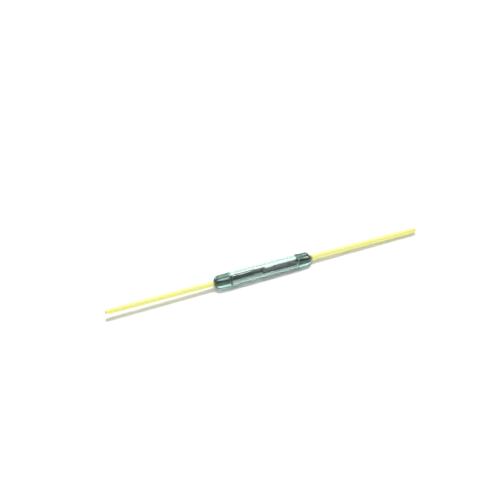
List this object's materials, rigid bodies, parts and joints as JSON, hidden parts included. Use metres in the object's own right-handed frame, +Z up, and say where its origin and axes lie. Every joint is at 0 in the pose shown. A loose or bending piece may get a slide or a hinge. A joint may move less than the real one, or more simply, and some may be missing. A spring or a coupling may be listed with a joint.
{
  "type": "glass reed switch",
  "caption": "Slim sealed tube of green glass with a round wire lead at each end and overlapping spring blades inside that close in a magnetic field.",
  "frame": {"origin": "centre of the glass, on its long axis", "axes": "+X along the switch towards the right lead, +Z up across the width of the blades, +Y from the right blade to the left blade"},
  "size_m": [0.044, 0.002, 0.002],
  "materials": {
    "green_glass": "fire-polished green glass",
    "gold_plated_wire": "satin pale gold plating",
    "nickel_iron": "pressed bare nickel-iron"
  },
  "bodies": {
    "capsule": {"glass_envelope": "green_glass", "left_lead": "gold_plated_wire", "right_lead": "gold_plated_wire"},
    "left_reed": {"left_blade": "nickel_iron"},
    "right_reed": {"right_blade": "nickel_iron"}
  },
  "joints": [
    {"name": "left_flex", "type": "hinge", "parent": "capsule", "child": "left_reed", "pos_m": [-0.0039, 0.00003, 0], "axis": [0, 0, -1], "range_deg": [0, 0.408], "stiffness_Nm_per_rad": 0.001},
    {"name": "right_flex", "type": "hinge", "parent": "capsule", "child": "right_reed", "pos_m": [0.0043, -0.00003, 0], "axis": [0, 0, -1], "range_deg": [0, 0.408], "stiffness_Nm_per_rad": 0.001}
  ],
  "couplings": [
    {"joint": "right_flex", "follows": "left_flex", "ratio": 1}
  ]
}
